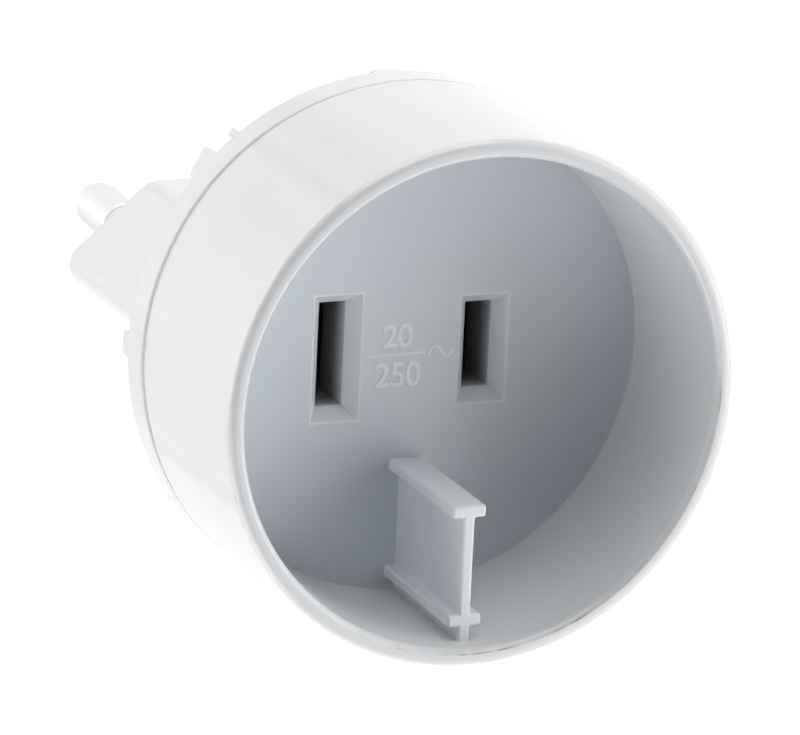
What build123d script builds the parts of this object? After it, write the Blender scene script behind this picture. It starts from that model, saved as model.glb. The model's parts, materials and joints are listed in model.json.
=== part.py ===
"""Travel adapter: a round cup for a plug with two flat blades and, behind it, a nose with two round pins.

Millimetres. +Z is up and +Y runs the way the pins point. The origin is the middle of the nose's end face.
"""

import os
from math import atan, cos, radians, sin, tan

from build123d import *

# Slots for the flat blades
blade_pitch = 12.7
slot_width = 2.2
left_slot_height = 8.6
right_slot_height = 7.1
slot_bevel = 0.95
slot_bevel_depth = 1.5
guide_wall = 0.6
guide_length = 3.8
guide_clearance = 0.15

# Front cup
cup_radius = 21.8
cup_wall = 2.0
cup_depth = 15.3
outer_draft = 1.35
bore_draft = 0.5
rim_edge = 0.6
mouth_edge = 0.42
floor_thickness = 2.2
skirt = 0.2
spigot_wall = 1.4
spigot_clearance = 0.1

# Barrier fin below the slots
fin_drop = 8.7
fin_height = 10.0
fin_length = 13.35
fin_flange_width = 2.85
fin_flange = 1.0
fin_web = 1.0
fin_root = 0.6

# Rear cover
cover_band = 3.3
cover_plate = 1.8
cover_wall = 1.65
cover_edge = 0.3
seam_gap = 0.8
seam_depth = 0.3
seam_slope = 0.6

# Plug nose
nose_side = 8.45
nose_height = 13.7
nose_length = 25.5
nose_slant = 41.0
nose_tip_radius = 1.9
nose_shoulder_radius = 2.5
nose_edge = 0.6
cavity_corner = 0.8
end_wall = 4.0

# Plug pins and their sleeves
pin_base_spacing = 18.6
pin_tip_spacing = 17.5
pin_diameter = 4.0
pin_length = 19.0
core_diameter = 3.0
sleeve_diameter = 3.6
sleeve_length = 10.0
collar_diameter = 5.6
collar_thickness = 1.2
rivet_diameter = 2.2
rivet_head_diameter = 3.4
rivet_head_height = 0.9
rivet_clearance = 0.1
moulded_clearance = 0.02
hole_bevel = 0.3

# Folded spring contacts
strip_thickness = 0.5
strip_width = 4.4
strip_bend = 0.8
leaf_gap = 3.0
pinch_gap = 1.2
mouth_gap = 3.4
mouth_clearance = 0.4
pinch_depth = 3.5
leaf_taper_length = 5.0
leaf_straight_length = 2.85
heel_reach = 2.6
heel_height = 5.0

# Pads, lugs and small fins on the cover's back
back_count = 4
back_inset = 0.4
back_depth = 1.6
pad_width = 2.0
pad_height = 2.1
lug_angle = 46.7
lug_width = 3.2
lug_height = 3.0
lug_low_height = 1.45
lug_side_slope = 0.3
back_fin_offset = 3.5
back_fin_width = 0.7
back_fin_height = 1.35

# How far a cut runs past the face that it opens
cut_over = 1.0

# Stations along the axis, measured forward from the nose's end face
cover_back = nose_length
plate_front = cover_back + cover_plate
cover_front = cover_back + cover_band
cup_back = cover_front + seam_gap
floor_back = cup_back + skirt
floor_front = floor_back + floor_thickness
rim = floor_front + cup_depth

# Guide walls behind the slots reach into the nose, whose cavity clears the taller one
guide_end = floor_back - guide_length
cavity_half_height = max(left_slot_height, right_slot_height) / 2 + guide_wall + guide_clearance
nose_wall = nose_height / 2 - cavity_half_height

# Radii of the cup and of the ring that nests in the cover
wall_back = cup_back + seam_slope
outer_at_rim = cup_radius - (rim - wall_back) * tan(radians(outer_draft))
seam_radius = cup_radius - seam_depth
bore_at_floor = cup_radius - cup_wall
bore_at_rim = bore_at_floor + cup_depth * tan(radians(bore_draft))
cover_bore = cup_radius - cover_wall
spigot_radius = cover_bore - spigot_clearance

# Pins lean towards each other
pin_lean = atan((pin_base_spacing - pin_tip_spacing) / 2 / pin_length)
pin_radius = pin_diameter / 2
core_radius = core_diameter / 2
sleeve_radius = sleeve_diameter / 2
collar_radius = collar_diameter / 2
rivet_radius = rivet_diameter / 2
rivet_head_radius = rivet_head_diameter / 2
collar_back = (end_wall - collar_thickness) / 2
collar_front = collar_back + collar_thickness
pin_x_at_contact = pin_base_spacing / 2 + end_wall * tan(pin_lean)

# Sketch plane for turned profiles: local x is the radius and local y runs forward
turning_plane = Plane((0, 0, 0), x_dir=(1, 0, 0), z_dir=(0, 0, -1))
turning_axis = Axis((0, 0, 0), (0, -1, 0))


def across(station):
    """Plane across the axis, at a station forward of the nose's end face."""
    return Plane.XZ.offset(station)


def pin_plane(side):
    """Sketch plane through one pin's own axis, with local y along it and positive inside the nose."""
    along_x = (cos(pin_lean), side * sin(pin_lean), 0)
    return Plane((side * pin_base_spacing / 2, 0, 0), x_dir=along_x, z_dir=(0, 0, -1))


def pin_axis(side):
    """Axis of one pin."""
    plane = pin_plane(side)
    return Axis(plane.origin, plane.y_dir)


def nose_outline(inset, shoulder_radius, tip_radius):
    """The nose's six-sided outline, moved in by the inset."""
    slant = radians(nose_slant)
    half_height = nose_height / 2 - inset
    sharp_tip = pin_base_spacing / 2 + nose_side + nose_tip_radius * (1 / sin(slant) - 1) - inset / sin(slant)
    shoulder = sharp_tip - half_height / tan(slant)
    corners = [
        (sharp_tip, 0),
        (shoulder, half_height),
        (-shoulder, half_height),
        (-sharp_tip, 0),
        (-shoulder, -half_height),
        (shoulder, -half_height),
    ]
    radii = [tip_radius, shoulder_radius, shoulder_radius, tip_radius, shoulder_radius, shoulder_radius]
    with BuildSketch(Plane.XY) as outline:
        with BuildLine():
            FilletPolyline(*corners, radius=radii, close=True)
        make_face()
    return outline.sketch


# Front cup, turned and then cut for the blades
with BuildPart() as front_cup:
    with BuildSketch(turning_plane):
        with BuildLine():
            Polyline(
                (0, floor_front),
                (bore_at_floor, floor_front),
                (bore_at_rim, rim),
                (outer_at_rim, rim),
                (cup_radius, wall_back),
                (seam_radius, cup_back),
                (seam_radius, cover_front),
                (spigot_radius, cover_front),
                (spigot_radius, plate_front),
                (spigot_radius - spigot_wall, plate_front),
                (spigot_radius - spigot_wall, floor_back),
                (0, floor_back),
                close=True,
            )
        make_face()
    revolve(axis=turning_axis)
    rim_circles = front_cup.edges().filter_by(GeomType.CIRCLE).group_by(Axis.Y)[0]
    chamfer(rim_circles.sort_by(SortBy.RADIUS)[-1], length=rim_edge)
    rim_circles = front_cup.edges().filter_by(GeomType.CIRCLE).group_by(Axis.Y)[0]
    chamfer(rim_circles.sort_by(SortBy.RADIUS)[0], length=mouth_edge)

    # Barrier fin: two flanges and a web that runs down to the wall
    fin_bottom = -(bore_at_floor + fin_root)
    with BuildSketch(across(floor_front)):
        with Locations((0, -fin_drop - fin_flange / 2), (0, -fin_drop - fin_height + fin_flange / 2)):
            Rectangle(fin_flange_width, fin_flange)
        with Locations((0, -fin_drop)):
            Rectangle(fin_web, -fin_bottom - fin_drop, align=(Align.CENTER, Align.MAX))
    extrude(amount=fin_length)

    # Slots with funnel mouths, and guide walls behind them that lead the blades into the contacts
    for side, slot_height in ((-1, left_slot_height), (1, right_slot_height)):
        slot_place = (side * blade_pitch / 2, 0)
        with BuildSketch(across(floor_back)):
            with Locations(slot_place):
                Rectangle(slot_width + 2 * guide_wall, slot_height + 2 * guide_wall)
        extrude(amount=-guide_length)
        with BuildSketch(across(floor_front)):
            with Locations(slot_place):
                Rectangle(slot_width + 2 * slot_bevel, slot_height + 2 * slot_bevel)
        with BuildSketch(across(floor_front - slot_bevel_depth)):
            with Locations(slot_place):
                Rectangle(slot_width, slot_height)
        loft(mode=Mode.SUBTRACT)
        with BuildSketch(across(floor_front - slot_bevel_depth)):
            with Locations(slot_place):
                Rectangle(slot_width, slot_height)
        extrude(amount=slot_bevel_depth - floor_thickness - guide_length - cut_over, mode=Mode.SUBTRACT)

front_cup.part.label = "front_cup"

# Rear cover with the hollow nose
with BuildPart() as rear_cover:
    with BuildSketch(turning_plane):
        with BuildLine():
            Polyline(
                (0, cover_back),
                (cup_radius, cover_back),
                (cup_radius, cover_front),
                (cover_bore, cover_front),
                (cover_bore, plate_front),
                (0, plate_front),
                close=True,
            )
        make_face()
    revolve(axis=turning_axis)
    back_circles = rear_cover.edges().filter_by(GeomType.CIRCLE).group_by(Axis.Y)[-1]
    chamfer(back_circles, length=cover_edge)

    with BuildSketch(across(0)):
        add(nose_outline(0, nose_shoulder_radius, nose_tip_radius))
    extrude(amount=cover_back)
    chamfer(rear_cover.faces().sort_by(Axis.Y)[-1].outer_wire().edges(), length=nose_edge)
    with BuildSketch(across(end_wall)):
        add(nose_outline(nose_wall, cavity_corner, cavity_corner))
    extrude(amount=plate_front - end_wall + cut_over, mode=Mode.SUBTRACT)

    # Room in the end wall for each pin with its collar and sleeve
    for side in (-1, 1):
        with BuildSketch(pin_plane(side)):
            with BuildLine():
                Polyline(
                    (0, -cut_over),
                    (sleeve_radius + moulded_clearance + hole_bevel + cut_over, -cut_over),
                    (sleeve_radius + moulded_clearance, hole_bevel),
                    (sleeve_radius + moulded_clearance, collar_back),
                    (collar_radius + moulded_clearance, collar_back),
                    (collar_radius + moulded_clearance, collar_front),
                    (rivet_radius + moulded_clearance, collar_front),
                    (rivet_radius + moulded_clearance, end_wall + cut_over),
                    (0, end_wall + cut_over),
                    close=True,
                )
            make_face()
        revolve(axis=pin_axis(side), mode=Mode.SUBTRACT)

    # Pads on the back, near the edge
    back_outer = cup_radius - back_inset
    with BuildSketch(across(cover_back)):
        with PolarLocations(back_outer - back_depth / 2, back_count):
            Rectangle(back_depth, pad_width)
    extrude(amount=-pad_height)

    # Sloping lugs with a small fin beside each
    for number in range(back_count):
        angle = radians(lug_angle + number * 360 / back_count)
        outward = (cos(angle), 0, sin(angle))
        foot = ((back_outer - back_depth) * cos(angle), -cover_back, (back_outer - back_depth) * sin(angle))
        with BuildSketch(Plane(foot, x_dir=(sin(angle), 0, -cos(angle)), z_dir=outward)):
            with BuildLine():
                Polyline(
                    (lug_width / 2, 0),
                    (lug_width / 2 - lug_side_slope, lug_height),
                    (lug_side_slope - lug_width / 2, lug_low_height),
                    (-lug_width / 2, 0),
                    close=True,
                )
            make_face()
            with Locations((back_fin_offset, 0)):
                Rectangle(back_fin_width, back_fin_height, align=(Align.CENTER, Align.MIN))
        extrude(amount=back_depth)

rear_cover.part.label = "rear_cover"

export_list = [front_cup.part, rear_cover.part]

# Pins, sleeves and contacts, the left set mirrored to the right
contact_mouth = guide_end - mouth_clearance
contact_pinch = contact_mouth - pinch_depth
contact_leaf = contact_pinch - leaf_taper_length
contact_shoulder = contact_leaf - leaf_straight_length
strip_middle = end_wall + strip_thickness / 2
rivet_head = end_wall + strip_thickness + rivet_clearance
leaf_offset = (leaf_gap + strip_thickness) / 2
pinch_offset = (pinch_gap + strip_thickness) / 2
mouth_offset = (mouth_gap + strip_thickness) / 2
heel_x = pin_x_at_contact + heel_reach
for side, side_name in ((-1, "left"), (1, "right")):
    # Plated pin with round tip, waist for the sleeve, collar, rivet shank and head
    with BuildPart() as pin:
        with BuildSketch(pin_plane(side)):
            with BuildLine():
                tip = RadiusArc((0, -pin_length), (pin_radius, pin_radius - pin_length), -pin_radius)
                Polyline(
                    tip @ 1,
                    (pin_radius, -sleeve_length),
                    (core_radius, -sleeve_length),
                    (core_radius, collar_back),
                    (collar_radius, collar_back),
                    (collar_radius, collar_front),
                    (rivet_radius, collar_front),
                    (rivet_radius, rivet_head),
                    (rivet_head_radius, rivet_head),
                    (rivet_head_radius, rivet_head + rivet_head_height),
                    (0, rivet_head + rivet_head_height),
                    tip @ 0,
                )
            make_face()
        revolve(axis=pin_axis(side))
    pin.part.label = f"pin_{side_name}"

    # Insulating sleeve between the collar and the bare end of the pin
    with BuildPart() as sleeve:
        with BuildSketch(pin_plane(side)):
            with BuildLine():
                Polyline(
                    (core_radius + moulded_clearance, -sleeve_length),
                    (sleeve_radius, -sleeve_length),
                    (sleeve_radius, collar_back),
                    (core_radius + moulded_clearance, collar_back),
                    close=True,
                )
            make_face()
        revolve(axis=pin_axis(side))
    sleeve.part.label = f"sleeve_{side_name}"

    # Spring contact: one strip folded round the blade, its foot under the rivet head
    blade_x = blade_pitch / 2
    with BuildPart() as contact:
        with BuildSketch(turning_plane):
            with BuildLine():
                FilletPolyline(
                    (side * (blade_x - mouth_offset), contact_mouth),
                    (side * (blade_x - pinch_offset), contact_pinch),
                    (side * (blade_x - leaf_offset), contact_leaf),
                    (side * (blade_x - leaf_offset), strip_middle),
                    (side * heel_x, strip_middle),
                    (side * heel_x, strip_middle + heel_height),
                    (side * (blade_x + leaf_offset), contact_shoulder),
                    (side * (blade_x + leaf_offset), contact_leaf),
                    (side * (blade_x + pinch_offset), contact_pinch),
                    (side * (blade_x + mouth_offset), contact_mouth),
                    radius=strip_bend,
                )
            trace(line_width=strip_thickness)
        extrude(amount=strip_width / 2, both=True)
        with BuildSketch(across(end_wall - cut_over)):
            with Locations((side * pin_x_at_contact, 0)):
                Circle(rivet_radius + rivet_clearance)
        extrude(amount=strip_thickness + 2 * cut_over, mode=Mode.SUBTRACT)
    contact.part.label = f"contact_{side_name}"

    export_list += [pin.part, sleeve.part, contact.part]

os.makedirs("parts", exist_ok=True)
for piece in export_list:
    export_step(piece, f"parts/{piece.label}.step")
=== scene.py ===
# %% [markdown]
# A travel adapter, dressed for its picture
# The adapter is a white moulded cup that takes a plug with two flat blades, and behind it a
# six-sided nose with two sleeved round pins. The solids come packed from CAD at their real
# size, so this lesson only gives them what the eye looks for: soft moulded edges, gloss,
# plating and light. Everything is in metres, in the frame of the solids.

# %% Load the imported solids
import json
import math

import bmesh
import bpy
from mathutils import Matrix, Quaternion, Vector

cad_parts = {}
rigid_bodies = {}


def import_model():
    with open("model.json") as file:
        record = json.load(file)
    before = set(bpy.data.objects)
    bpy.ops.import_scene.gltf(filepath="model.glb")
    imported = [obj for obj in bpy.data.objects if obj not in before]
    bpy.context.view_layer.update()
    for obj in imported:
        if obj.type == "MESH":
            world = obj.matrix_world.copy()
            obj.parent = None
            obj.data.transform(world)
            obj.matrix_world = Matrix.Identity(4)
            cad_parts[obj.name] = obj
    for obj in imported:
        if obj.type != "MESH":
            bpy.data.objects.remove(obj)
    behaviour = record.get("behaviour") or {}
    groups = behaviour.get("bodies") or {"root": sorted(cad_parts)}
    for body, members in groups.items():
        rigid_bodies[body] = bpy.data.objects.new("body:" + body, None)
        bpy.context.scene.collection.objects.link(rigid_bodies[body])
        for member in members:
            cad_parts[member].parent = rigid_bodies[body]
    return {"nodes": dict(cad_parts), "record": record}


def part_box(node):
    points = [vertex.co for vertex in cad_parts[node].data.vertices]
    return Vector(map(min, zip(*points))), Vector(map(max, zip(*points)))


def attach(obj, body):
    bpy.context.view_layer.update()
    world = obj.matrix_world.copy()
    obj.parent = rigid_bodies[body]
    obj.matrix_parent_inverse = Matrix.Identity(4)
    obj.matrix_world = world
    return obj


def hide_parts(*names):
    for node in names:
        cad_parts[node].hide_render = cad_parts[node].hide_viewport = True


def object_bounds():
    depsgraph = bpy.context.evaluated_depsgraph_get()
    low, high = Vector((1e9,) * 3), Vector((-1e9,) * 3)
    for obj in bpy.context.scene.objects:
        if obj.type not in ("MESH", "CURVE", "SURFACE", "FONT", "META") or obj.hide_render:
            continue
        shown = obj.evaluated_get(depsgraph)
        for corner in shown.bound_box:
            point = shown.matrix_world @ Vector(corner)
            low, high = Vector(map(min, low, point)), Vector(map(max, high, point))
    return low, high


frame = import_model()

cad_low, cad_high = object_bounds()
print("solids", sorted(frame["nodes"]))
print("box in mm", [round(1000 * side, 1) for side in cad_high - cad_low])

# %% [markdown]
# The main stations and radii are read from the solids, so a piece lands where its solid is.
# What a box can't tell, such as the depth of the floor, is written down once in millimetres.
# The pins point along +Y, so forward, towards the cup's mouth, is -Y.

# %% Stations and radii
MM = 0.001
cup_low, cup_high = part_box("front_cup")
cover_low, cover_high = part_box("rear_cover")
RIM = cup_low.y
GUIDE_END = cup_high.y
COVER_FRONT = cover_low.y
NOSE_END = cover_high.y
CUP_RADIUS = cup_high.x
FLOOR_FRONT = RIM + 15.3 * MM
FLOOR_BACK = FLOOR_FRONT + 2.2 * MM
CUP_BACK = COVER_FRONT - 0.8 * MM
COVER_BACK = COVER_FRONT + 3.3 * MM
PLATE_FRONT = COVER_BACK - 1.8 * MM
print("rim to floor", round((FLOOR_FRONT - RIM) / MM, 2), "mm, radius", round(CUP_RADIUS / MM, 2), "mm")

# %% [markdown]
# Colours are written as the sRGB hex values that a colour picker shows, and one function turns
# them to the linear values that shaders use. A second small function adds a node, sets its
# sockets and links what is given as another node's output. Every material below is made of these.

# %% Colour and node helpers
def linear(hex_colour):
    """The linear RGBA of an sRGB hex colour."""
    channels = [int(hex_colour[place:place + 2], 16) / 255 for place in (1, 3, 5)]
    return tuple(c / 12.92 if c <= 0.04045 else ((c + 0.055) / 1.055) ** 2.4 for c in channels) + (1.0,)


def add_node(tree, kind, sockets=None, **settings):
    """Adds a node, with its settings and with sockets set to values or linked from outputs."""
    node = tree.nodes.new(kind)
    for name, value in settings.items():
        setattr(node, name, value)
    for name, value in (sockets or {}).items():
        if isinstance(value, bpy.types.NodeSocket):
            tree.links.new(value, node.inputs[name])
        else:
            node.inputs[name].default_value = value
    return node


def new_material(name, **shader_sockets):
    """A material, its tree, its Principled shader and the Object coordinates that its patterns read."""
    material = bpy.data.materials.new(name)
    material.use_nodes = True
    tree = material.node_tree
    shader = tree.nodes["Principled BSDF"]
    for socket, value in shader_sockets.items():
        shader.inputs[socket.replace("_", " ")].default_value = value
    place = add_node(tree, "ShaderNodeTexCoord").outputs["Object"]
    return material, tree, shader, place


print("middle grey #808080 in linear light", [round(c, 3) for c in linear("#808080")])

# %% [markdown]
# The body is white polycarbonate, injection moulded in a polished steel tool. It gives the eye an
# even white and a clear gloss that a very fine orange peel softens. The bottom of the cup was left
# satin in the tool and looks duller, and its white is painted darker and a little more bluish, as
# painted shade deep in the cup. The fin, the mark and the funnels of the slots were polished by hand,
# and their white is painted lighter, as painted light on them. One function makes these finishes.

# %% White polycarbonate
PEEL_SPACING = 1.4 * MM
PEEL_HEIGHT = 0.002 * MM
SHADE_SIZE = 11 * MM
MOULDING_IOR = 1.55
# Each finish is a darker and a lighter white, and the lowest and highest roughness
GLOSS_FINISH = ("#E6E8EA", "#EBEDEF", 0.19, 0.26)
# The polished white is painted lighter than the gloss, as painted light on the fin, the mark and the
# funnels
LIT_POLISHED_FINISH = ("#EBF0F4", "#F1F4F7", 0.28, 0.35)
# The satin white is painted darker and bluer, as painted shade on the floor of the cup
SHADED_SATIN_FINISH = ("#D6DDE3", "#DDE4E9", 0.34, 0.44)


def polycarbonate(name, dark, light, rough_low, rough_high):
    """Moulded polycarbonate whose colour and roughness wander between two values."""
    material, tree, shader, place = new_material(name, IOR=MOULDING_IOR)
    shade = add_node(tree, "ShaderNodeTexNoise", {
        "Vector": place, "Scale": 1 / SHADE_SIZE, "Detail": 3.0})
    white = add_node(tree, "ShaderNodeMix", {
        "Factor": shade.outputs["Fac"], "A": linear(dark), "B": linear(light)}, data_type="RGBA")
    tree.links.new(white.outputs["Result"], shader.inputs["Base Color"])
    gloss = add_node(tree, "ShaderNodeMapRange", {
        "Value": shade.outputs["Fac"], "To Min": rough_low, "To Max": rough_high})
    tree.links.new(gloss.outputs["Result"], shader.inputs["Roughness"])
    peel = add_node(tree, "ShaderNodeTexNoise", {
        "Vector": place, "Scale": 1 / PEEL_SPACING, "Detail": 1.0})
    bump = add_node(tree, "ShaderNodeBump", {"Height": peel.outputs["Fac"], "Distance": PEEL_HEIGHT})
    tree.links.new(bump.outputs["Normal"], shader.inputs["Normal"])
    return material, tree, shader, place, white.outputs["Result"]


gloss_white = polycarbonate("polycarbonate_gloss_white", *GLOSS_FINISH)[0]
lit_polished_white = polycarbonate("polycarbonate_polished_painted_light", *LIT_POLISHED_FINISH)[0]
print("made", gloss_white.name, "and", lit_polished_white.name)

# %% [markdown]
# The throats of the slots get painted shade. The satin finish gets darker with depth behind the
# slots' funnels, where a ramp on the Y coordinate blends the grey of the painted shade in.

# %% Satin polycarbonate with painted shade in the throats
# The grey of the painted shade in the deep throats, and the depths where it starts and is full
THROAT_SHADE_START, THROAT_SHADE_FULL = 1.4 * MM, 3.6 * MM
THROAT_SHADE_COLOUR = "#9A9896"

shaded_satin_white, tree, shader, place, white = polycarbonate("polycarbonate_satin_painted_shade", *SHADED_SATIN_FINISH)
parts = add_node(tree, "ShaderNodeSeparateXYZ", {"Vector": place})
throat_shade = add_node(tree, "ShaderNodeMapRange", {
    "Value": parts.outputs["Y"],
    "From Min": FLOOR_FRONT + THROAT_SHADE_START, "From Max": FLOOR_FRONT + THROAT_SHADE_FULL})
throat_shaded = add_node(tree, "ShaderNodeMix", {
    "Factor": throat_shade.outputs["Result"], "A": white, "B": linear(THROAT_SHADE_COLOUR)}, data_type="RGBA")
tree.links.new(throat_shaded.outputs["Result"], shader.inputs["Base Color"])
print("made", shaded_satin_white.name)

# %% [markdown]
# The adapter has been used. Plugs have rubbed a thin, broken brown line onto the crease between the
# rim and the bevel of the mouth, and a faint beige smear onto that bevel, both at the bottom and the
# lower right. The cup gets its own gloss for that: masks on the distance from the axis, on the depth
# and on the side keep the dirt in its place, and a noise breaks it up.

# %% Where the mouth is scuffed
SCUFF_LENGTH = 2.2 * MM
SCUFF_RADIUS = 20.35 * MM
SCUFF_WIDTH = 0.045 * MM
SCUFF_DEPTH = 0.1 * MM
SMEAR_DEPTH = 1.3 * MM
DIRTY_SIDE = (0.45, 0.0, -0.89)
CLEAN_UP_TO, DIRTY_FROM = 5 * MM, 13 * MM
# The noise between these values fades the line and the smear in
LINE_FAINT, LINE_FULL = 0.53, 0.72
SMEAR_FAINT, SMEAR_FULL = 0.3, 1.1

scuffed_and_reflections_white, tree, shader, place, white = polycarbonate("polycarbonate_scuffed_with_painted_reflections", *GLOSS_FINISH)
parts = add_node(tree, "ShaderNodeSeparateXYZ", {"Vector": place})
flat = add_node(tree, "ShaderNodeMapping", {"Vector": place, "Scale": (1.0, 0.0, 1.0)})
radius = add_node(tree, "ShaderNodeVectorMath", {0: flat.outputs["Vector"]}, operation="LENGTH")
wear = add_node(tree, "ShaderNodeTexNoise", {
    "Vector": place, "Scale": 1 / SCUFF_LENGTH, "Detail": 4.0})
towards_dirt = add_node(tree, "ShaderNodeVectorMath", {
    0: place, 1: DIRTY_SIDE}, operation="DOT_PRODUCT")
on_side = add_node(tree, "ShaderNodeMapRange", {
    "Value": towards_dirt.outputs["Value"], "From Min": CLEAN_UP_TO, "From Max": DIRTY_FROM})
on_crease = add_node(tree, "ShaderNodeMath", {
    0: radius.outputs["Value"], 1: SCUFF_RADIUS, 2: SCUFF_WIDTH}, operation="COMPARE")
on_rim = add_node(tree, "ShaderNodeMath", {
    0: parts.outputs["Y"], 1: RIM + SCUFF_DEPTH}, operation="LESS_THAN")
broken = add_node(tree, "ShaderNodeMapRange", {
    "Value": wear.outputs["Fac"], "From Min": LINE_FAINT, "From Max": LINE_FULL})
inside = add_node(tree, "ShaderNodeMath", {
    0: radius.outputs["Value"], 1: SCUFF_RADIUS}, operation="LESS_THAN")
near_mouth = add_node(tree, "ShaderNodeMapRange", {
    "Value": parts.outputs["Y"], "From Min": RIM + SMEAR_DEPTH, "From Max": RIM})
cloudy = add_node(tree, "ShaderNodeMapRange", {
    "Value": wear.outputs["Fac"], "From Min": SMEAR_FAINT, "From Max": SMEAR_FULL})
print("limits for the dirt on", scuffed_and_reflections_white.name)

# %% [markdown]
# Multiplying the limits gives one mask for the line and one for the smear. Each mask then mixes the
# colour of its dirt over the white.

# %% Line and smear
LINE_COLOUR, SMEAR_COLOUR = "#A0968A", "#DBD8D2"

masks = []
for limits in ((on_crease, on_rim, broken), (inside, near_mouth, cloudy)):
    mask = on_side
    for limit in limits:
        mask = add_node(tree, "ShaderNodeMath", {
            0: mask.outputs[0], 1: limit.outputs[0]}, operation="MULTIPLY")
    masks.append(mask.outputs[0])
line_mask, smear_mask = masks
smeared = add_node(tree, "ShaderNodeMix", {
    "Factor": smear_mask, "A": white, "B": linear(SMEAR_COLOUR)}, data_type="RGBA")
scuffed = add_node(tree, "ShaderNodeMix", {
    "Factor": line_mask, "A": smeared.outputs["Result"], "B": linear(LINE_COLOUR)}, data_type="RGBA")
print(len(masks), "kinds of dirt on", scuffed_and_reflections_white.name)

# %% [markdown]
# Two faint grey stripes are painted along the outer wall from the seam to the rim, as painted dark
# reflections. Each one is a soft stripe in the distance across its angle, kept to the outer wall by
# the distance outwards.

# %% Painted dark reflections on the wall
DARK_REFLECTION_ANGLES = [math.radians(-36.2), math.radians(-107.5)]
DARK_REFLECTION_HALF_WIDTH = 1.5 * MM
DARK_REFLECTION_FROM_RADIUS = 21.3 * MM
DARK_REFLECTION_COLOUR = "#E2E4E6"

colour = scuffed.outputs["Result"]
for angle in DARK_REFLECTION_ANGLES:
    sideways = (math.cos(angle), 0.0, -math.sin(angle))
    outwards = (math.sin(angle), 0.0, math.cos(angle))
    across = add_node(tree, "ShaderNodeVectorMath", {0: place, 1: sideways}, operation="DOT_PRODUCT")
    away = add_node(tree, "ShaderNodeMath", {0: across.outputs["Value"]}, operation="ABSOLUTE")
    stripe = add_node(tree, "ShaderNodeMapRange", {
        "Value": away.outputs[0], "From Min": DARK_REFLECTION_HALF_WIDTH, "From Max": 0.0},
        interpolation_type="SMOOTHSTEP")
    out = add_node(tree, "ShaderNodeVectorMath", {0: place, 1: outwards}, operation="DOT_PRODUCT")
    on_wall = add_node(tree, "ShaderNodeMath", {
        0: out.outputs["Value"], 1: DARK_REFLECTION_FROM_RADIUS}, operation="GREATER_THAN")
    mask = add_node(tree, "ShaderNodeMath", {
        0: stripe.outputs[0], 1: on_wall.outputs[0]}, operation="MULTIPLY")
    # Each stripe mixes the grey of a painted dark reflection over the wall's white
    reflection_painted = add_node(tree, "ShaderNodeMix", {
        "Factor": mask.outputs[0], "A": colour, "B": linear(DARK_REFLECTION_COLOUR)}, data_type="RGBA")
    colour = reflection_painted.outputs["Result"]
tree.links.new(colour, shader.inputs["Base Color"])
print(len(DARK_REFLECTION_ANGLES), "painted dark reflections on", scuffed_and_reflections_white.name)

# %% [markdown]
# The pins are turned brass with nickel plating: warm, pale and silky, with faint lines along the pin
# from drawing. A noise that is stretched along the pin makes such lines. Real ones are finer, and
# these are as coarse as they need to be to show.

# %% Nickel plating
DRAW_LINE = 0.12 * MM
DRAW_DEPTH = 0.0003 * MM
STRETCH = 0.04
PLATE_COLOUR = "#CBC9C8"
PLATE_SMOOTH, PLATE_ROUGH = 0.58, 0.66

nickel_plate, tree, shader, place = new_material(
    "nickel_plated_brass", Metallic=1.0, Base_Color=linear(PLATE_COLOUR))
along = add_node(tree, "ShaderNodeMapping", {"Vector": place, "Scale": (1.0, STRETCH, 1.0)})
lines = add_node(tree, "ShaderNodeTexNoise", {"Vector": along.outputs["Vector"], "Scale": 1 / DRAW_LINE})
polish = add_node(tree, "ShaderNodeMapRange", {
    "Value": lines.outputs["Fac"], "To Min": PLATE_SMOOTH, "To Max": PLATE_ROUGH})
tree.links.new(polish.outputs["Result"], shader.inputs["Roughness"])
ridges = add_node(tree, "ShaderNodeBump", {"Height": lines.outputs["Fac"], "Distance": DRAW_DEPTH})
tree.links.new(ridges.outputs["Normal"], shader.inputs["Normal"])
print("made", nickel_plate.name)

# %% [markdown]
# The sleeves are moulded nylon, which looks matt and a little warmer than the body. A fine grain gives
# it small pits and a slight change of tone.

# %% Nylon
NYLON_GRAIN = 0.25 * MM
NYLON_PIT = 0.004 * MM
NYLON_DARK, NYLON_LIGHT = "#E4E3E0", "#ECEBE8"

nylon, tree, shader, place = new_material("nylon_matt_white", Roughness=0.5, IOR=1.53)
grain = add_node(tree, "ShaderNodeTexNoise", {"Vector": place, "Scale": 1 / NYLON_GRAIN, "Detail": 2.0})
tone = add_node(tree, "ShaderNodeMix", {
    "Factor": grain.outputs["Fac"], "A": linear(NYLON_DARK), "B": linear(NYLON_LIGHT)},
    data_type="RGBA")
tree.links.new(tone.outputs["Result"], shader.inputs["Base Color"])
pitted = add_node(tree, "ShaderNodeBump", {"Height": grain.outputs["Fac"], "Distance": NYLON_PIT})
tree.links.new(pitted.outputs["Normal"], shader.inputs["Normal"])
print("made", nylon.name)

# %% [markdown]
# The contacts are rolled brass strip. Tarnish gives it brown patches, and the rolls leave faint lines
# along it that make it more and less dull. They are made like the lines on the pins.

# %% Rolled brass
ROLL_LINE = 0.15 * MM
TARNISH_SIZE = 4 * MM
BRASS_DARK, BRASS_LIGHT = "#6E5A3C", "#A98F63"
BRASS_SMOOTH, BRASS_ROUGH = 0.3, 0.5

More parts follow.
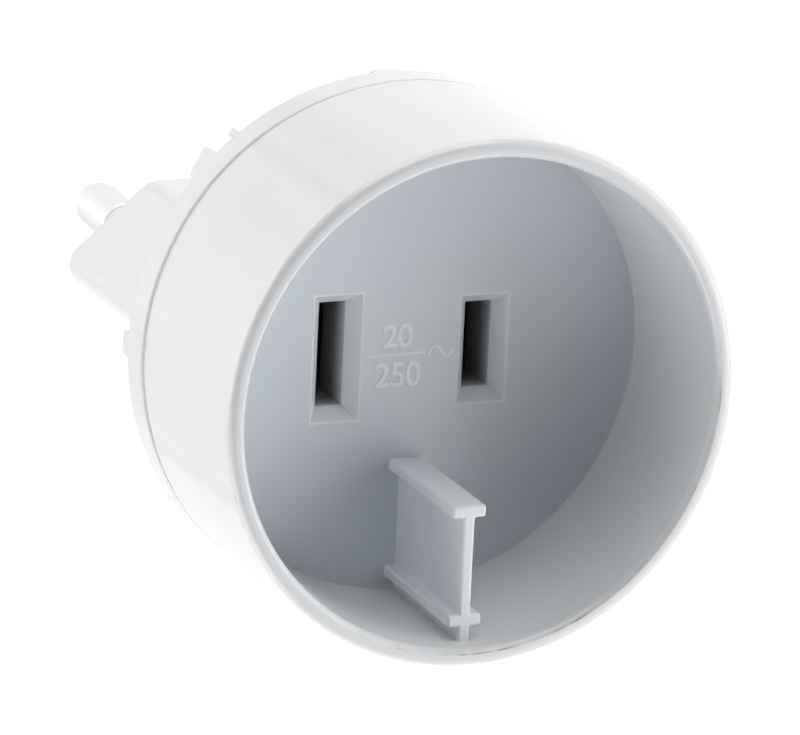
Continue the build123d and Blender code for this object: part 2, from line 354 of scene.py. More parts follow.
brass, tree, shader, place = new_material("rolled_brass_strip", Metallic=1.0)
patches = add_node(tree, "ShaderNodeTexNoise", {
    "Vector": place, "Scale": 1 / TARNISH_SIZE, "Detail": 4.0})
tone = add_node(tree, "ShaderNodeMix", {
    "Factor": patches.outputs["Fac"], "A": linear(BRASS_DARK), "B": linear(BRASS_LIGHT)},
    data_type="RGBA")
tree.links.new(tone.outputs["Result"], shader.inputs["Base Color"])
along = add_node(tree, "ShaderNodeMapping", {"Vector": place, "Scale": (1.0, STRETCH, 1.0)})
lines = add_node(tree, "ShaderNodeTexNoise", {"Vector": along.outputs["Vector"], "Scale": 1 / ROLL_LINE})
dull = add_node(tree, "ShaderNodeMapRange", {
    "Value": lines.outputs["Fac"], "To Min": BRASS_SMOOTH, "To Max": BRASS_ROUGH})
tree.links.new(dull.outputs["Result"], shader.inputs["Roughness"])
print("made", brass.name)

# %% [markdown]
# Most of the adapter is turned or moulded with round edges. A chain of corners is drawn as a wire,
# a vertex bevel rounds each corner by its own radius, and a full spin turns the chain into a shell.
# The open rings that are left get their flat faces by a triangle fill, which can leave holes for
# slots and pins. The last helper makes the finished mesh an object that rides on the part.

# %% Modelling helpers
TURN_STEPS = 192
CORNER_STEPS = 5
WELD = 0.0005 * MM
SHARP_ANGLE = math.radians(32)


def wire(bm, points, closed=False):
    """A chain of vertices and edges through the points."""
    verts = [bm.verts.new(point) for point in points]
    ends = verts[1:] + verts[:1] if closed else verts[1:]
    edges = [bm.edges.new(pair) for pair in zip(verts, ends)]
    return verts, edges


def round_corner(bm, vert, length, segments):
    """Rounds one corner of a wire, starting the curve this far from the corner."""
    bmesh.ops.bevel(bm, geom=[vert], offset=length, segments=segments, profile=0.5,
                    affect="VERTICES", material=-1)


def soften(bm, edges, width, segments=3):
    """Rounds edges that already have faces on both sides."""
    bmesh.ops.bevel(bm, geom=edges, offset=width, segments=segments, profile=0.5,
                    affect="EDGES", material=-1, clamp_overlap=True)


def turn(corners, steps=TURN_STEPS):
    """A new bmesh: the chain of (radius, y, rounding) corners spun about the Y axis."""
    bm = bmesh.new()
    verts, _ = wire(bm, [(radius, y, 0) for radius, y, _ in corners])
    for vert, (_, _, rounding) in zip(verts, corners):
        if rounding:
            round_corner(bm, vert, rounding, CORNER_STEPS)
    bmesh.ops.spin(bm, geom=bm.verts[:] + bm.edges[:], cent=(0, 0, 0), axis=(0, 1, 0),
                   angle=math.tau, steps=steps, use_merge=True)
    bmesh.ops.remove_doubles(bm, verts=bm.verts[:], dist=WELD)
    return bm


def push_loop(bm, edges, centre, grow, move):
    """Extrudes a loop of edges, scales the new loop about a centre, moves it and returns its edges."""
    made = bmesh.ops.extrude_edge_only(bm, edges=edges)["geom"]
    verts = [item for item in made if isinstance(item, bmesh.types.BMVert)]
    bmesh.ops.scale(bm, vec=grow, space=Matrix.Translation(-Vector(centre)), verts=verts)
    bmesh.ops.translate(bm, vec=move, verts=verts)
    fresh = set(verts)
    return [edge for edge in bm.edges if edge.verts[0] in fresh and edge.verts[1] in fresh]


def fill_at(bm, y):
    """Fills the flat area between the open loops that lie across the axis at y."""
    loops = [e for e in bm.edges if e.is_boundary and all(abs(v.co.y - y) < WELD for v in e.verts)]
    bmesh.ops.triangle_fill(bm, use_beauty=True, edges=loops)


def join(bm, other):
    """Adds another bmesh to this one and frees it."""
    mesh = bpy.data.meshes.new("joining")
    other.to_mesh(mesh)
    bm.from_mesh(mesh)
    bpy.data.meshes.remove(mesh)
    other.free()


def finish_piece(name, bm, materials, slot, *nodes):
    """Makes a bmesh an object with smooth faces and crisp creases, riding on the part."""
    bmesh.ops.recalc_face_normals(bm, faces=bm.faces[:])
    mesh = bpy.data.meshes.new(name)
    bm.to_mesh(mesh)
    bm.free()
    for material in materials:
        mesh.materials.append(material)
    mesh.shade_smooth()
    mesh.set_sharp_from_angle(angle=SHARP_ANGLE)
    piece = bpy.data.objects.new(name, mesh)
    bpy.context.scene.collection.objects.link(piece)
    even = piece.modifiers.new("even_normals", "WEIGHTED_NORMAL")
    even.keep_sharp = True
    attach(piece, "root")
    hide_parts(*nodes)
    print(name, len(mesh.polygons), "faces")


# %% [markdown]
# The cup is one moulding. Its wall is turned first: the chain starts on the floor, goes up the
# drafted bore, over the bevel of the mouth and the rounded rim and down the outer wall. Behind the
# wall a short slope leads into the shallow groove of the seam, and the chain ends in the thin ring
# that nests in the cover. It stays open in the middle of the floor, where the slots go.

# %% Turn the cup's wall
BORE_AT_FLOOR = 19.8 * MM
BORE_AT_RIM = 19.93 * MM
MOUTH_BEVEL = 0.42 * MM
OUTER_AT_RIM = 21.4 * MM
SEAM_DEPTH = 0.28 * MM
SEAM_RADIUS = CUP_RADIUS - SEAM_DEPTH
SEAM_SLOPE = 0.15 * MM
SPIGOT_RADIUS = 20.05 * MM
SPIGOT_WALL = 1.4 * MM
FLOOR_OPEN = 17.6 * MM
RIM_EDGE = 0.65 * MM
MOUTH_EDGE = 0.06 * MM
MOUTH_BLEND = 0.3 * MM
SEAM_EDGE = 0.12 * MM
FLOOR_CORNER = 0.1 * MM

cup = turn([
    (FLOOR_OPEN, FLOOR_FRONT, 0),
    (BORE_AT_FLOOR, FLOOR_FRONT, FLOOR_CORNER),
    (BORE_AT_RIM, RIM + MOUTH_BEVEL, MOUTH_BLEND),
    (BORE_AT_RIM + MOUTH_BEVEL, RIM, MOUTH_EDGE),
    (OUTER_AT_RIM, RIM, RIM_EDGE),
    (CUP_RADIUS, CUP_BACK - SEAM_SLOPE, SEAM_EDGE),
    (SEAM_RADIUS, CUP_BACK, SEAM_EDGE),
    (SEAM_RADIUS, COVER_FRONT, 0),
    (SPIGOT_RADIUS, COVER_FRONT, 0),
    (SPIGOT_RADIUS, PLATE_FRONT, 0),
    (SPIGOT_RADIUS - SPIGOT_WALL, PLATE_FRONT, 0),
    (SPIGOT_RADIUS - SPIGOT_WALL, FLOOR_BACK, 0),
    (FLOOR_OPEN, FLOOR_BACK, 0),
])
print("cup wall", len(cup.faces), "faces")

# %% [markdown]
# The two halves sit a little askew, so the groove of the seam is open at the left and nearly closes
# at the right. Each vertex of the groove is drawn towards the edge of the cover, in depth and in
# width, and keeps a share that swings with the angle round the axis.

# %% Close the groove towards the right
OPEN_SIDE = math.radians(-100)
OPEN_MEAN, OPEN_SWING, OPEN_LEAST = 0.4, 0.6, 0.1
GROOVE_START = CUP_BACK - SEAM_SLOPE - SEAM_EDGE - WELD

shares = []
for vert in cup.verts:
    x, y, z = vert.co
    radius = math.hypot(x, z)
    if y > GROOVE_START and radius > SPIGOT_RADIUS + WELD:
        share = max(OPEN_LEAST, OPEN_MEAN + OPEN_SWING * math.cos(math.atan2(x, z) - OPEN_SIDE))
        grow = (CUP_RADIUS - (CUP_RADIUS - radius) * share) / radius
        vert.co = (x * grow, COVER_FRONT - (COVER_FRONT - y) * share, z * grow)
        shares.append(share)
print("the groove keeps", round(min(shares), 2), "to", round(max(shares), 2), "of its size")

# %% [markdown]
# Each slot has a funnel mouth that leads the blade in, and thin guide walls behind the floor that
# lead it on into the contact. The slot starts as a rectangle on the floor, which is pushed inwards
# to the mouth, down to the throat, on to the guide's end, out by the wall and back to the floor. Only
# then are the mouth and the throat softened, because the faces on both sides have to be there.
# The left slot is taller, as on every polarised outlet. The floor and the throats get the satin
# white with its painted shade, and the funnels the polished white with its painted light.

# %% Slots in the floor
BLADE_PITCH = 12.7 * MM
SLOT_WIDTH = 2.2 * MM
SLOT_HEIGHTS = {-1: 8.6 * MM, 1: 7.1 * MM}
SLOT_BEVEL = 0.95 * MM
SLOT_BEVEL_DEPTH = 1.5 * MM
SLOT_FRAME = 0.5 * MM
SLOT_EDGE = 0.12 * MM
GUIDE_WALL = 0.6 * MM
SQUARE = ((-1, -1), (1, -1), (1, 1), (-1, 1))
SCUFFED_WITH_REFLECTIONS, SHADED_SATIN, LIT_POLISHED = range(3)


def slot_well(bm, centre_x, height):
    """The flat frame, funnel, throat and guide walls of one slot."""
    centre = (centre_x, FLOOR_FRONT, 0)
    grown = (SLOT_BEVEL + SLOT_FRAME, SLOT_BEVEL, 0, GUIDE_WALL)
    frame_half, mouth, throat, guide = [(SLOT_WIDTH / 2 + more, height / 2 + more) for more in grown]
    corners = [(across * frame_half[0], up * frame_half[1]) for across, up in SQUARE]
    _, outline = wire(bm, [(centre_x + x, FLOOR_FRONT, z) for x, z in corners], closed=True)

    def push(loop, old, new, deeper):
        """Pushes a loop from one half size to another, and deeper along the axis."""
        return push_loop(bm, loop, centre, (new[0] / old[0], 1, new[1] / old[1]), (0, deeper, 0))

    mouth_loop = push(outline, frame_half, mouth, 0)
    throat_loop = push(mouth_loop, mouth, throat, SLOT_BEVEL_DEPTH)
    end_loop = push(throat_loop, throat, throat, GUIDE_END - FLOOR_FRONT - SLOT_BEVEL_DEPTH)
    outside_loop = push(end_loop, throat, guide, 0)
    push(outside_loop, guide, guide, FLOOR_BACK - GUIDE_END)
    soften(bm, mouth_loop + throat_loop, SLOT_EDGE)


for side, slot_height in SLOT_HEIGHTS.items():
    slot_well(cup, side * BLADE_PITCH / 2, slot_height)
fill_at(cup, FLOOR_FRONT)
fill_at(cup, FLOOR_BACK)
# The funnels get the white painted lighter as painted light, and the floor and throats the white painted
# darker as painted shade
for face in cup.faces:
    centre = face.calc_center_median()
    depth = centre.y - FLOOR_FRONT
    if math.hypot(centre.x, centre.z) >= BORE_AT_FLOOR:
        face.material_index = SCUFFED_WITH_REFLECTIONS
    else:
        face.material_index = LIT_POLISHED if WELD < depth < SLOT_BEVEL_DEPTH else SHADED_SATIN
print("cup with floor", len(cup.faces), "faces, open edges", sum(e.is_boundary for e in cup.edges))

# %% [markdown]
# Below the slots stands a barrier fin with an I-shaped section, which keeps out plugs with a third
# blade. Its outline is one face, extruded from just inside the floor towards the mouth. The web runs
# on down into the wall. A bevel on all its edges gives the small moulded radii.

# %% Barrier fin
FIN_TOP = -8.7 * MM
FIN_HEIGHT = 10.0 * MM
FIN_LENGTH = 13.35 * MM
FIN_FLANGE_WIDTH = 2.85 * MM
FIN_FLANGE = 1.0 * MM
FIN_WEB = 1.0 * MM
FIN_SUNK = 0.4 * MM
FIN_EDGE = 0.24 * MM


def barrier_fin():
    """The fin as a bmesh of its own."""
    bm = bmesh.new()
    flange, web = FIN_FLANGE_WIDTH / 2, FIN_WEB / 2
    low = FIN_TOP - FIN_HEIGHT
    right = [
        (flange, FIN_TOP), (flange, FIN_TOP - FIN_FLANGE), (web, FIN_TOP - FIN_FLANGE),
        (web, low + FIN_FLANGE), (flange, low + FIN_FLANGE), (flange, low), (web, low),
        (web, -BORE_AT_FLOOR - FIN_SUNK),
    ]
    left = [(-x, z) for x, z in reversed(right)]
    verts, _ = wire(bm, [(x, FLOOR_FRONT + FIN_SUNK, z) for x, z in right + left], closed=True)
    section = bm.faces.new(verts)
    front = bmesh.ops.extrude_face_region(bm, geom=[section])["geom"]
    moved = [item for item in front if isinstance(item, bmesh.types.BMVert)]
    bmesh.ops.translate(bm, vec=(0, -FIN_LENGTH - FIN_SUNK, 0), verts=moved)
    bmesh.ops.recalc_face_normals(bm, faces=bm.faces[:])
    soften(bm, bm.edges[:], FIN_EDGE)
    # The fin gets the white that is painted lighter, as painted light
    for face in bm.faces:
        face.material_index = LIT_POLISHED
    return bm


join(cup, barrier_fin())
finish_piece("cup_shell", cup, [scuffed_and_reflections_white, shaded_satin_white, lit_polished_white], "body_plastic", "front_cup")

# %% [markdown]
# The rear cover closes the cup. Its tray is turned like the cup, open where the nose grows out
# of it. Its front edge is the other side of the seam, and is rounded so that the line looks soft.

# %% Turn the cover's tray
COVER_BORE = 20.15 * MM
COVER_EDGE = 0.35 * MM
COVER_FRONT_EDGE = 0.22 * MM
COVER_OPEN = 18.9 * MM

cover = turn([
    (COVER_OPEN, COVER_BACK, 0),
    (CUP_RADIUS, COVER_BACK, COVER_EDGE),
    (CUP_RADIUS, COVER_FRONT, COVER_FRONT_EDGE),
    (COVER_BORE, COVER_FRONT, 0),
    (COVER_BORE, PLATE_FRONT, 0),
    (COVER_OPEN, PLATE_FRONT, 0),
])
print("cover tray", len(cover.faces), "faces")

# %% [markdown]
# The nose is a long hexagon with round corners, the shape that recessed wall sockets take. The same
# outline is drawn several times, moved in or out and along the axis, and the loops are bridged: a
# frame on the tray, the root, and at the end a few loops that follow the arc of its soft edge. The
# root gets a small fillet.

# %% Nose
NOSE_HALF_WIDTH = 17.75 * MM
NOSE_HEIGHT = 13.7 * MM
NOSE_SLANT = math.radians(41)
NOSE_TIP_RADIUS = 1.9 * MM
NOSE_SHOULDER_RADIUS = 2.5 * MM
NOSE_WALL = 1.8 * MM
NOSE_EDGE = 0.6 * MM
NOSE_ROOT = 0.35 * MM
NOSE_FRAME = 0.8 * MM
END_WALL = 4.0 * MM
EDGE_STEPS = 5
OUTLINE_STEPS = 10


def nose_loop(bm, inset, y):
    """The nose's outline, moved in by the inset, as a loop of edges across the axis at y."""
    before = set(bm.edges)
    half_height = NOSE_HEIGHT / 2 - inset
    slant = math.sin(NOSE_SLANT)
    sharp_tip = NOSE_HALF_WIDTH + NOSE_TIP_RADIUS * (1 / slant - 1) - inset / slant
    shoulder = sharp_tip - half_height / math.tan(NOSE_SLANT)
    half = [(sharp_tip, 0), (shoulder, half_height), (-shoulder, half_height)]
    verts, _ = wire(bm, [(x, y, z) for x, z in half + [(-x, -z) for x, z in half]], closed=True)
    for number, vert in enumerate(verts):
        at_tip = number % 3 == 0
        bend = math.pi - 2 * NOSE_SLANT if at_tip else NOSE_SLANT
        radius = (NOSE_TIP_RADIUS if at_tip else NOSE_SHOULDER_RADIUS) - inset
        round_corner(bm, vert, radius * math.tan(bend / 2), OUTLINE_STEPS)
    return [edge for edge in bm.edges if edge not in before]


root_loop = nose_loop(cover, 0, COVER_BACK)
nose_loops = [nose_loop(cover, -NOSE_FRAME, COVER_BACK), root_loop]
for step in range(EDGE_STEPS + 1):
    angle = math.pi / 2 * step / EDGE_STEPS
    inset, back = NOSE_EDGE * (1 - math.cos(angle)), NOSE_EDGE * (1 - math.sin(angle))
    nose_loops.append(nose_loop(cover, inset, NOSE_END - back))
for first, second in zip(nose_loops, nose_loops[1:]):
    bmesh.ops.bridge_loops(cover, edges=first + second)
soften(cover, root_loop, NOSE_ROOT)
print("cover with nose", len(cover.faces), "faces")

# %% [markdown]
# Two stepped bores hold the pins, which lean towards each other by under two degrees so that they
# spring against the socket. The lean and the place come from the pins' mounts. Behind the end wall
# the nose is hollow, and the hollow is open towards the cup.

# %% Pin bores and the hollow
PIN_MOUNTS = {-1: "pin_left_end", 1: "pin_right_end"}
SLEEVE_HOLE = 1.82 * MM
HOLE_BEVEL = 0.3 * MM
COLLAR_ROOM = 2.82 * MM
RIVET_HOLE = 1.12 * MM
COLLAR_BACK = 1.4 * MM
COLLAR_FRONT = 2.6 * MM
BORE_SEGMENTS = 48
BORE_STEPS = [
    (SLEEVE_HOLE, HOLE_BEVEL), (SLEEVE_HOLE, COLLAR_BACK), (COLLAR_ROOM, COLLAR_BACK),
    (COLLAR_ROOM, COLLAR_FRONT), (RIVET_HOLE, COLLAR_FRONT), (RIVET_HOLE, END_WALL),
]
mounts = {mount["name"]: mount for mount in frame["record"]["mounts"]}


def pin_line(side):
    """The point where a pin's axis meets the end face, and the axis."""
    mount = mounts[PIN_MOUNTS[side]]
    axis = Vector(mount["axis"]).normalized()
    place = Vector(mount["pos_m"])
    return place - axis * (place.y - NOSE_END) / axis.y, axis


def pin_bore(bm, side):
    """A bevelled, stepped bore through the end wall."""
    foot, axis = pin_line(side)
    radius, depth = SLEEVE_HOLE + HOLE_BEVEL, 0.0
    upright = Matrix.Translation(foot) @ Matrix.Rotation(math.pi / 2, 4, "X")
    ring = bmesh.ops.create_circle(bm, segments=BORE_SEGMENTS, radius=radius, matrix=upright)["verts"]
    loop = list({edge for vert in ring for edge in vert.link_edges})
    for next_radius, next_depth in BORE_STEPS:
        centre = foot - axis * depth / axis.y
        grow = next_radius / radius
        step = -axis * (next_depth - depth) / axis.y
        loop = push_loop(bm, loop, centre, (grow, 1, grow), step)
        radius, depth = next_radius, next_depth


for side in PIN_MOUNTS:
    pin_bore(cover, side)
hollow_mouth = nose_loop(cover, NOSE_WALL, PLATE_FRONT)
hollow_end = nose_loop(cover, NOSE_WALL, NOSE_END - END_WALL)
bmesh.ops.bridge_loops(cover, edges=hollow_mouth + hollow_end)
for y in (COVER_BACK, NOSE_END, PLATE_FRONT, NOSE_END - END_WALL):
    fill_at(cover, y)
print("closed cover", len(cover.faces), "faces, open edges", sum(e.is_boundary for e in cover.edges))

# %% [markdown]
# On the cover's back, near its edge, stand four pads, four sloping lugs and a thin fin beside each
# lug. They are small blocks: an outline in the plane of the back is one face, extruded inwards from
# the edge and softened, then turned into its place round the axis.

# %% Pads, lugs and small fins
BACK_RADIUS = 21.4 * MM
BACK_DEPTH = 1.6 * MM
BACK_SUNK = 0.4 * MM
BACK_EDGE = 0.12 * MM
PAD_WIDTH, PAD_HEIGHT = 2.0 * MM, 2.1 * MM
LUG_ANGLE, LUG_WIDTH = math.radians(46.7), 3.2 * MM
LUG_HEIGHT, LUG_LOW_HEIGHT, LUG_SLOPE = 3.0 * MM, 1.45 * MM, 0.3 * MM
BACK_FIN_OFFSET, BACK_FIN_WIDTH, BACK_FIN_HEIGHT = 3.5 * MM, 0.7 * MM, 1.35 * MM
BACK_REPEATS = 4


def back_block(outline, angle):
    """A block on the cover's back from its (across, up) outline, at an angle round the axis."""
    bm = bmesh.new()
    verts, _ = wire(bm, [(BACK_RADIUS, COVER_BACK + up, across) for across, up in outline], closed=True)
    face = bm.faces.new(verts)
    inner = bmesh.ops.extrude_face_region(bm, geom=[face])["geom"]
    moved = [item for item in inner if isinstance(item, bmesh.types.BMVert)]
    bmesh.ops.translate(bm, vec=(-BACK_DEPTH, 0, 0), verts=moved)
    bmesh.ops.recalc_face_normals(bm, faces=bm.faces[:])
    soften(bm, bm.edges[:], BACK_EDGE)
    bmesh.ops.rotate(bm, matrix=Matrix.Rotation(-angle, 3, "Y"), verts=bm.verts[:])
    return bm


pad, lug, small_fin = PAD_WIDTH / 2, LUG_WIDTH / 2, BACK_FIN_WIDTH / 2
pad_outline = [(-pad, -BACK_SUNK), (pad, -BACK_SUNK), (pad, PAD_HEIGHT), (-pad, PAD_HEIGHT)]
lug_outline = [
    (-lug, -BACK_SUNK), (lug, -BACK_SUNK),
    (lug - LUG_SLOPE, LUG_LOW_HEIGHT), (LUG_SLOPE - lug, LUG_HEIGHT)]
fin_outline = [
    (across - BACK_FIN_OFFSET, up) for across, up in (
        (-small_fin, -BACK_SUNK), (small_fin, -BACK_SUNK),
        (small_fin, BACK_FIN_HEIGHT), (-small_fin, BACK_FIN_HEIGHT))]
for number in range(BACK_REPEATS):
    turned = number * math.tau / BACK_REPEATS
    join(cover, back_block(pad_outline, turned))
    join(cover, back_block(lug_outline, turned + LUG_ANGLE))
    join(cover, back_block(fin_outline, turned + LUG_ANGLE))
finish_piece("cover_shell", cover, [gloss_white], "body_plastic", "rear_cover")

# %% [markdown]
# The pins are turned pieces with a round tip, a waist for the sleeve, a collar in the end wall and
# a riveted head inside. They are turned on the Y axis and then leaned into their place in the mesh,
# so that the objects stay at the origin. The sleeves are turned in the same way.

# %% Pins and sleeves
PIN_RADIUS = 2.0 * MM
PIN_LENGTH = 19.0 * MM
CORE_RADIUS = 1.5 * MM
SLEEVE_RADIUS = 1.8 * MM
SLEEVE_LENGTH = 10.0 * MM
COLLAR_RADIUS = 2.8 * MM
RIVET_RADIUS = 1.1 * MM
RIVET_HEAD = 4.6 * MM
RIVET_HEAD_RADIUS = 1.7 * MM
RIVET_HEAD_HEIGHT = 0.9 * MM
PIN_STEPS = 64
PIN_TIP_EDGE = 0.985 * PIN_RADIUS
PIN_STEP_EDGE = 0.3 * MM
RIVET_EDGE = 0.1 * MM
RIVET_DOME = 4 * RIVET_EDGE
SLEEVE_GAP = 0.02 * MM
SLEEVE_EDGE = 0.03 * MM


def lean(bm, side):
    """Moves a piece that was turned on the Y axis onto a pin's own axis."""
    foot, axis = pin_line(side)
    turned = Vector((0, 1, 0)).rotation_difference(axis).to_matrix().to_4x4()
    bmesh.ops.transform(bm, matrix=Matrix.Translation(foot) @ turned, verts=bm.verts[:])
    return bm


def plated_pin():
    """A pin from its tip to its rivet head."""
    return turn([
        (0, PIN_LENGTH, 0),
        (PIN_RADIUS, PIN_LENGTH, PIN_TIP_EDGE),
        (PIN_RADIUS, SLEEVE_LENGTH, PIN_STEP_EDGE),
        (CORE_RADIUS, SLEEVE_LENGTH, 0),
        (CORE_RADIUS, -COLLAR_BACK, 0),
        (COLLAR_RADIUS, -COLLAR_BACK, 0),
        (COLLAR_RADIUS, -COLLAR_FRONT, 0),
        (RIVET_RADIUS, -COLLAR_FRONT, 0),
        (RIVET_RADIUS, -RIVET_HEAD, 0),
        (RIVET_HEAD_RADIUS, -RIVET_HEAD, RIVET_EDGE),
        (RIVET_HEAD_RADIUS, -RIVET_HEAD - RIVET_HEAD_HEIGHT, RIVET_DOME),
        (0, -RIVET_HEAD - RIVET_HEAD_HEIGHT, 0),
    ], PIN_STEPS)


def pin_sleeve():
    """A sleeve from the bare end of the pin to the collar, closed on itself."""
    bm = turn([
        (CORE_RADIUS + SLEEVE_GAP, SLEEVE_LENGTH, 0),
        (SLEEVE_RADIUS, SLEEVE_LENGTH, SLEEVE_EDGE),
        (SLEEVE_RADIUS, -COLLAR_BACK, 0),
        (CORE_RADIUS + SLEEVE_GAP, -COLLAR_BACK, 0),
    ], PIN_STEPS)
    bmesh.ops.bridge_loops(bm, edges=[edge for edge in bm.edges if edge.is_boundary])
    return bm


for side, side_name in ((-1, "left"), (1, "right")):
    finish_piece(f"plated_pin_{side_name}", lean(plated_pin(), side), [nickel_plate],
                 "pin_metal", f"pin_{side_name}")
    finish_piece(f"nylon_sleeve_{side_name}", lean(pin_sleeve(), side), [nylon],
                 "sleeve_plastic", f"sleeve_{side_name}")

# %% [markdown]
# The spring contacts are folded strip, and their solids already have the right shape. Only a sliver
# of them can be seen, deep in the slots, so they keep their solids and get the rolled brass.

# %% Contacts
for side_name in ("left", "right"):
    contact = frame["nodes"][f"contact_{side_name}"]
    for holder in contact.material_slots:
        holder.material = brass
    print(contact.name, "in", brass.name)

# %% [markdown]
# Between the slots stands a raised mark: one plain number over another, with a bar between them and
# a wave beside it. Text is a font curve with a round bevel, so it is made a mesh first and placed
# after that, with its place in its vertices. The mark is sunk until only its crown stands proud of
# the floor, by under a tenth of a millimetre.

# %% Raised numbers
MARK_PROUD = 0.09 * MM
MARK_EDGE = 0.2 * MM
MARK_THINNER = 0.03 * MM
MARK_EDGE_STEPS = 4
FONT_SIZE_PER_HEIGHT = 1.4


def curve_to_bmesh(curve):
    """A new bmesh from a curve, which is removed."""
    holder = bpy.data.objects.new("mark", curve)
    mesh = bpy.data.meshes.new_from_object(holder)
    bm = bmesh.new()
    bm.from_mesh(mesh)
    bpy.data.batch_remove([holder, curve, mesh])
    bmesh.ops.remove_doubles(bm, verts=bm.verts[:], dist=WELD)
    return bm


def raised_text(text, width, height, centre_x, centre_z):
    """Characters as a bmesh on the floor, of this width and height and centred on a place."""
    curve = bpy.data.curves.new("mark", "FONT")
    curve.body = text
    curve.bevel_depth = MARK_EDGE
    curve.bevel_resolution = MARK_EDGE_STEPS
    curve.size = FONT_SIZE_PER_HEIGHT * height
    curve.offset = -MARK_THINNER
    bm = curve_to_bmesh(curve)
    low = [min(vert.co[axis] for vert in bm.verts) for axis in range(2)]
    high = [max(vert.co[axis] for vert in bm.verts) for axis in range(2)]
    centred = Matrix.Translation((-(low[0] + high[0]) / 2, -(low[1] + high[1]) / 2, 0))
    sized = Matrix.Diagonal((width / (high[0] - low[0]), height / (high[1] - low[1]), 1, 1))
    upright = Matrix.Rotation(math.pi / 2, 4, "X")
    placed = Matrix.Translation((centre_x, FLOOR_FRONT + MARK_EDGE - MARK_PROUD, centre_z))
    bmesh.ops.transform(bm, matrix=placed @ upright @ sized @ centred, verts=bm.verts[:])
    return bm


mark = raised_text("20", width=2.75 * MM, height=2.2 * MM, centre_x=-1.2 * MM, centre_z=1.58 * MM)
lower = raised_text("250", width=4.15 * MM, height=2.35 * MM, centre_x=-1.05 * MM, centre_z=-1.67 * MM)
join(mark, lower)
print("numbers", len(mark.faces), "faces")

# %% [markdown]
# The bar and the wave are smooth spline curves with a round section. The bends of the wave are wider
# than the ridge is thick, because a tighter bend would fold the tube into itself.

# %% Bar and wave
RIDGE_RADIUS = 0.25 * MM
BAR_POINTS = [(-3.62, 0.04), (1.36, 0.05)]
WAVE_POINTS = [
    (1.55, -0.2), (1.66, 0.25), (1.98, 0.53), (2.36, 0.44), (2.64, 0.05), (2.92, -0.36), (3.3, -0.44),
    (3.56, -0.12), (3.62, 0.22),
]


def ridge(points):
    """A round ridge on the floor that follows the points in millimetres, as a bmesh."""
    curve = bpy.data.curves.new("mark", "CURVE")
    curve.dimensions = "3D"
    curve.bevel_depth = RIDGE_RADIUS
    curve.use_fill_caps = True
    path = curve.splines.new("NURBS")
    path.points.add(len(points) - 1)
    for point, (x, z) in zip(path.points, points):
        point.co = (x * MM, FLOOR_FRONT + RIDGE_RADIUS - MARK_PROUD, z * MM, 1)
    path.order_u = min(3, len(points))
    path.use_endpoint_u = True
    return curve_to_bmesh(curve)


join(mark, ridge(BAR_POINTS))
join(mark, ridge(WAVE_POINTS))
# The mark gets the white that is painted lighter than the floor, as painted light on its crown
finish_piece("rating_mark", mark, [lit_polished_white], "body_plastic")

# %% [markdown]
# The adapter is held by its plug, so it hangs far above the pale floor. The floor takes the light of
# the lamps and gives it back to the adapter. To the camera and in glossy surfaces it also shines white
# by itself, and that light doesn't reach the adapter.

# %% Floor
FLOOR_DROP = 800 * MM
FLOOR_SPAN = 12.0
WHITE, PALE = "#FFFFFF", "#F2F2F2"


def seen_directly(tree):
    """An output that is one for rays from the camera, a glossy surface or glass, and else zero."""
    path = add_node(tree, "ShaderNodeLightPath")
    seen = path.outputs["Is Camera Ray"]
    for kind in ("Is Glossy Ray", "Is Transmission Ray"):
        either = add_node(tree, "ShaderNodeMath", {0: seen, 1: path.outputs[kind]}, operation="MAXIMUM")
        seen = either.outputs[0]
    return seen


floor_material, tree, shader, place = new_material(
    "pale_floor", Roughness=0.9, Base_Color=linear(PALE), Emission_Color=linear(WHITE))
tree.links.new(seen_directly(tree), shader.inputs["Emission Strength"])

floor_mesh = bmesh.new()
bmesh.ops.create_grid(floor_mesh, x_segments=1, y_segments=1, size=FLOOR_SPAN / 2,
                      matrix=Matrix.Translation((0, 0, -FLOOR_DROP)))
floor_data = bpy.data.meshes.new("studio_floor")
floor_mesh.to_mesh(floor_data)
floor_mesh.free()
floor_data.materials.append(floor_material)
studio_floor = bpy.data.objects.new("studio_floor", floor_data)
bpy.context.scene.collection.objects.link(studio_floor)
print("floor", round(FLOOR_DROP / MM), "mm below the axis")

# %% [markdown]
# The background is white in the same way: the camera and glossy surfaces see it, and it lights nothing.

# %% Background
world = bpy.data.worlds.new("studio")
bpy.context.scene.world = world
world.use_nodes = True
tree = world.node_tree
background = tree.nodes["Background"]
background.inputs["Color"].default_value = linear(WHITE)
tree.links.new(seen_directly(tree), background.inputs["Strength"])
print("made the world", world.name)

# %% [markdown]
# Soft studio light: large area lamps round the adapter, strongest from above and from the sides and
# weak from the front, so that the inside of the cup falls into grey while its outside stays white.
# Azimuth 0 is in front of the cup, and 90 is at its right.

# %% Lamps
LAMP_DISTANCE = 0.7
LAMP_SIZE = 0.6
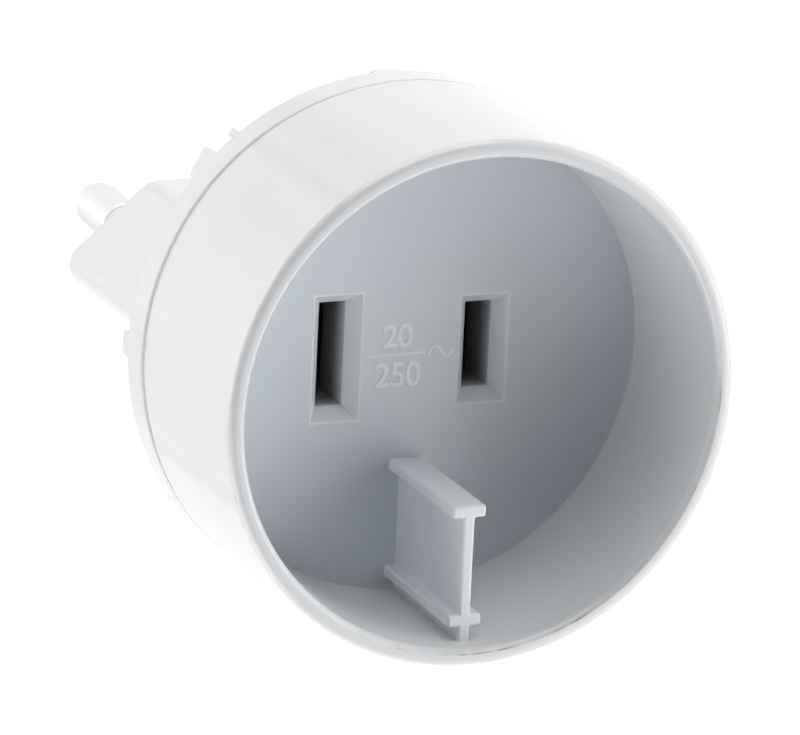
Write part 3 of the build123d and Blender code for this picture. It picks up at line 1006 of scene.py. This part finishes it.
# Name, azimuth and elevation in degrees, and power in watts
LAMPS = [
    ("overhead", 0, 85, 3.17),
    ("left_low", -75, -45, 2.61),
    ("left_back", -110, 10, 2.33),
    ("right_front", 60, 10, 2.11),
    ("right_low", 60, -20, 1.78),
    ("front_low_right", 30, -30, 1.06),
    ("front_low_left", -45, -45, 0.72),
    ("right_high", 75, 40, 0.58),
    ("far_back", -150, 15, 0.55),
    ("back_high", 180, 70, 0.49),
    ("left_far", -130, 0, 0.36),
    ("right_back", 150, 20, 0.33),
    ("back", 180, 30, 0.07),
]
middle = (cad_low + cad_high) / 2


def softbox(name, azimuth, elevation, power):
    """A square area lamp that looks at the adapter."""
    turned, raised = math.radians(azimuth), math.radians(elevation)
    level = math.cos(raised)
    outward = Vector((math.sin(turned) * level, -math.cos(turned) * level, math.sin(raised)))
    data = bpy.data.lights.new(name, "AREA")
    data.shape = "SQUARE"
    data.size = LAMP_SIZE
    data.energy = power
    lamp = bpy.data.objects.new(name, data)
    bpy.context.scene.collection.objects.link(lamp)
    lamp.location = middle + outward * LAMP_DISTANCE
    lamp.rotation_mode = "QUATERNION"
    lamp.rotation_quaternion = (-outward).to_track_quat("-Z", "Y")
    print(name, "at", azimuth, elevation, "degrees,", power, "W")


for lamp in LAMPS:
    softbox(*lamp)

# %% [markdown]
# The camera stands where the photo was taken: to the left of the adapter and a little above it, far
# away with a long lens, and rolled by under three degrees.

# %% Camera
LOOK_AT = Vector((-5.13, -41.98, 2.06)) * MM
DISTANCE = 480 * MM
AZIMUTH, ELEVATION, ROLL = (math.radians(angle) for angle in (23.2556, 16.2644, 2.7054))
LENS = 275.95
SENSOR_WIDTH = 36
CLIP_START = 0.05

level = math.cos(ELEVATION)
forward = Vector((math.sin(AZIMUTH) * level, math.cos(AZIMUTH) * level, -math.sin(ELEVATION)))
camera_data = bpy.data.cameras.new("camera")
camera_data.lens = LENS
camera_data.sensor_width = SENSOR_WIDTH
camera_data.clip_start = CLIP_START
camera = bpy.data.objects.new("camera", camera_data)
bpy.context.scene.collection.objects.link(camera)
camera.location = LOOK_AT - forward * DISTANCE
camera.rotation_mode = "QUATERNION"
camera.rotation_quaternion = forward.to_track_quat("-Z", "Y") @ Quaternion((0, 0, 1), ROLL)
bpy.context.scene.camera = camera
bpy.context.scene.view_settings.view_transform = "Standard"
print("camera at", [round(c, 3) for c in camera.location])
